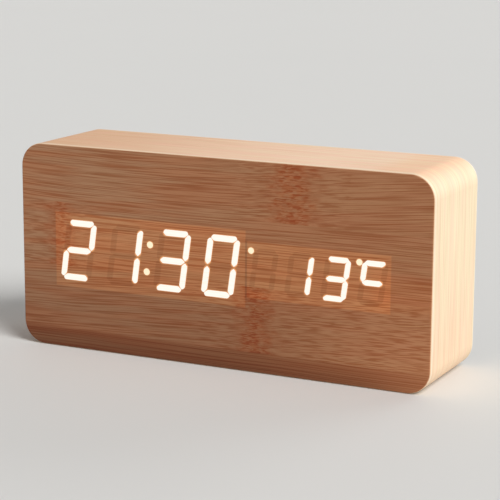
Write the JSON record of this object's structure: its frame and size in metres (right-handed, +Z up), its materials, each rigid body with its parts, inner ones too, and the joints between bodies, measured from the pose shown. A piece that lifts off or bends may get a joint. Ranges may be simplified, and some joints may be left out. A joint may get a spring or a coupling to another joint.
{
  "type": "wooden digital alarm clock",
  "caption": "Block-shaped wooden alarm clock with round corners, slanted light digits shining through a thin front veneer, rear keys, and a hinged battery door.",
  "frame": {"origin": "on the surface that the clock stands on, under the middle of the case", "axes": "+X to the right seen from the front, along the case's width; +Y to the back; +Z up"},
  "size_m": [0.15, 0.04, 0.07],
  "materials": {
    "case_wood": "pale bamboo, satin",
    "front_veneer": "brown bamboo veneer, satin",
    "fibreboard": "raw fibreboard",
    "black_plastic": "fine moulded texture",
    "key_plastic": "smooth",
    "plunger_plastic": "smooth",
    "display_shell": "moulded reflector",
    "light_guide": "milky resin",
    "tinned_metal": "tin plated",
    "bright_steel": "zinc plated",
    "dark_steel": "blackened",
    "brass": "turned",
    "circuit_board": "solder mask",
    "chip_black": "moulded epoxy",
    "connector_ivory": "moulded",
    "ribbon_grey": "ribbed insulation",
    "capacitor_can": "drawn can",
    "sensor_resin": "dipped resin",
    "lead_insulation": "wire insulation",
    "cell_wrap": "plain wrapper, bare of print"
  },
  "bodies": {
    "case": {"case_ring": "case_wood", "front_veneer": "front_veneer", "front_board": "fibreboard", "rear_cover": "black_plastic", "rear_cover_screws": "dark_steel", "time_display_shell": "display_shell", "time_display_segments": "light_guide", "temp_display_shell": "display_shell", "temp_display_segments": "light_guide", "display_pins": "tinned_metal", "display_pcb": "circuit_board", "display_spacers": "brass", "display_screws": "bright_steel", "display_driver_chips": "chip_black", "display_connector": "connector_ivory", "ribbon_cable": "ribbon_grey", "control_connector": "connector_ivory", "control_pcb": "circuit_board", "control_pcb_screws": "bright_steel", "controller_chip": "chip_black", "clock_crystal": "tinned_metal", "smoothing_capacitor": "capacitor_can", "buzzer": "chip_black", "microphone": "tinned_metal", "temperature_sensor": "sensor_resin", "power_socket_shell": "tinned_metal", "power_socket_tongue": "chip_black", "switch_housings": "chip_black", "battery_tray": "black_plastic", "battery_contacts": "tinned_metal", "battery_springs": "tinned_metal", "battery_leads": "lead_insulation", "battery_cells": "cell_wrap"},
    "mode_key": {"mode_button": "key_plastic", "mode_plunger": "plunger_plastic"},
    "up_key": {"up_button": "key_plastic", "up_plunger": "plunger_plastic"},
    "down_key": {"down_button": "key_plastic", "down_plunger": "plunger_plastic"},
    "battery_lid": {"battery_door": "black_plastic"}
  },
  "joints": [
    {"name": "mode_press", "type": "slide", "parent": "case", "child": "mode_key", "axis": [0, -1, 0], "range_m": [0, 0.0004], "stiffness_N_per_m": 1500, "springref_m": -0.0003},
    {"name": "up_press", "type": "slide", "parent": "case", "child": "up_key", "axis": [0, -1, 0], "range_m": [0, 0.0004], "stiffness_N_per_m": 1500, "springref_m": -0.0003},
    {"name": "down_press", "type": "slide", "parent": "case", "child": "down_key", "axis": [0, -1, 0], "range_m": [0, 0.0004], "stiffness_N_per_m": 1500, "springref_m": -0.0003},
    {"name": "door_swing", "type": "hinge", "parent": "case", "child": "battery_lid", "pos_m": [-0.0604, 0.0182, 0.035], "axis": [0, 0, 1], "range_deg": [0, 90]}
  ]
}
